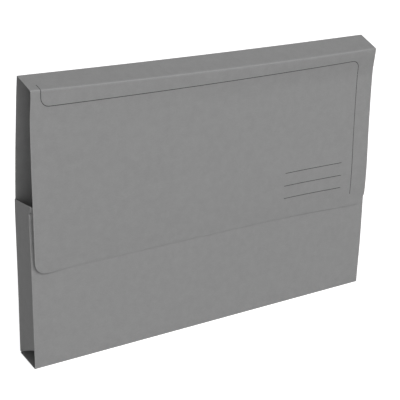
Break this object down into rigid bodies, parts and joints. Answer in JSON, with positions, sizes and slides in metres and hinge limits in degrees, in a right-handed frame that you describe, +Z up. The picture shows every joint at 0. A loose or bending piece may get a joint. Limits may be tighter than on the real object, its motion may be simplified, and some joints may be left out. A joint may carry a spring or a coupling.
{
  "type": "pocket file folder",
  "caption": "Upright card wallet for loose papers: a glued pocket with side gussets, a flat base and a hinged top strip that carries a closing flap with rounded corners.",
  "frame": {"origin": "middle of the space that the closed folder takes up, on the surface that its base stands on", "axes": "+Z up, +X to the right across the folder's width, +Y from the flap to the back panel"},
  "size_m": [0.35, 0.0344, 0.247],
  "materials": {
    "card": "matt",
    "glue": "satin"
  },
  "bodies": {
    "folder": {"back_panel": "card", "pocket_front": "card", "bottom_gusset": "card", "front_bottom_crease": "card", "back_bottom_crease": "card", "left_side_gusset": "card", "left_back_crease": "card", "left_front_crease": "card", "left_glue_tab": "card", "left_glue_line": "glue", "right_side_gusset": "card", "right_back_crease": "card", "right_front_crease": "card", "right_glue_tab": "card", "right_glue_line": "glue", "spine_crease": "card"},
    "top_strip": {"top_gusset": "card", "flap_crease": "card"},
    "flap": {"flap": "card"}
  },
  "joints": [
    {"name": "spine_fold", "type": "hinge", "parent": "folder", "child": "top_strip", "pos_m": [0, 0.00663, 0.2464], "axis": [-1, 0, 0], "range_deg": [0, 180]},
    {"name": "flap_fold", "type": "hinge", "parent": "top_strip", "child": "flap", "pos_m": [0, -0.01662, 0.2384], "axis": [-1, 0, 0], "range_deg": [0, 180]}
  ]
}
